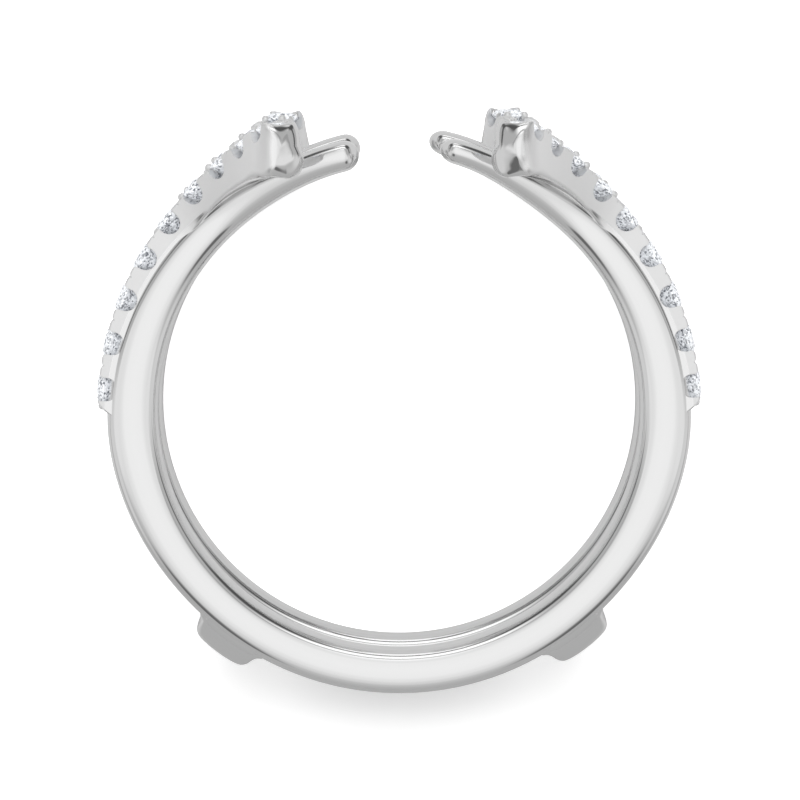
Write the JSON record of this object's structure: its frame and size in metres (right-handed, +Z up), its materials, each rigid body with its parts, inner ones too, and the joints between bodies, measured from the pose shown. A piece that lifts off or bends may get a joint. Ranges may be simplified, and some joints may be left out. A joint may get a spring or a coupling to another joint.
{
  "type": "ring guard enhancer",
  "caption": "Open double-band ring guard with bridges at the bottom and stone-set arms that sweep round the head of the ring it guards.",
  "frame": {"origin": "centre of the finger hole, midway between the two bands", "axes": "+X to the ring's right seen from its front, +Y towards its open top, +Z up as it lies; the finger hole's axis leans 10.6 degrees from +Z towards -Y"},
  "size_m": [0.0216, 0.0221, 0.0123],
  "materials": {
    "white_gold": "polished",
    "diamond": "polished"
  },
  "bodies": {
    "root": {"guard": "white_gold", "stone_front_left_01": "diamond", "stone_front_left_02": "diamond", "stone_front_left_03": "diamond", "stone_front_left_04": "diamond", "stone_front_left_05": "diamond", "stone_front_left_06": "diamond", "stone_front_left_07": "diamond", "stone_front_left_08": "diamond", "stone_front_left_09": "diamond", "stone_front_right_01": "diamond", "stone_front_right_02": "diamond", "stone_front_right_03": "diamond", "stone_front_right_04": "diamond", "stone_front_right_05": "diamond", "stone_front_right_06": "diamond", "stone_front_right_07": "diamond", "stone_front_right_08": "diamond", "stone_front_right_09": "diamond", "stone_rear_left_01": "diamond", "stone_rear_left_02": "diamond", "stone_rear_left_03": "diamond", "stone_rear_left_04": "diamond", "stone_rear_left_05": "diamond", "stone_rear_left_06": "diamond", "stone_rear_left_07": "diamond", "stone_rear_left_08": "diamond", "stone_rear_left_09": "diamond", "stone_rear_right_01": "diamond", "stone_rear_right_02": "diamond", "stone_rear_right_03": "diamond", "stone_rear_right_04": "diamond", "stone_rear_right_05": "diamond", "stone_rear_right_06": "diamond", "stone_rear_right_07": "diamond", "stone_rear_right_08": "diamond", "stone_rear_right_09": "diamond"}
  },
  "joints": []
}
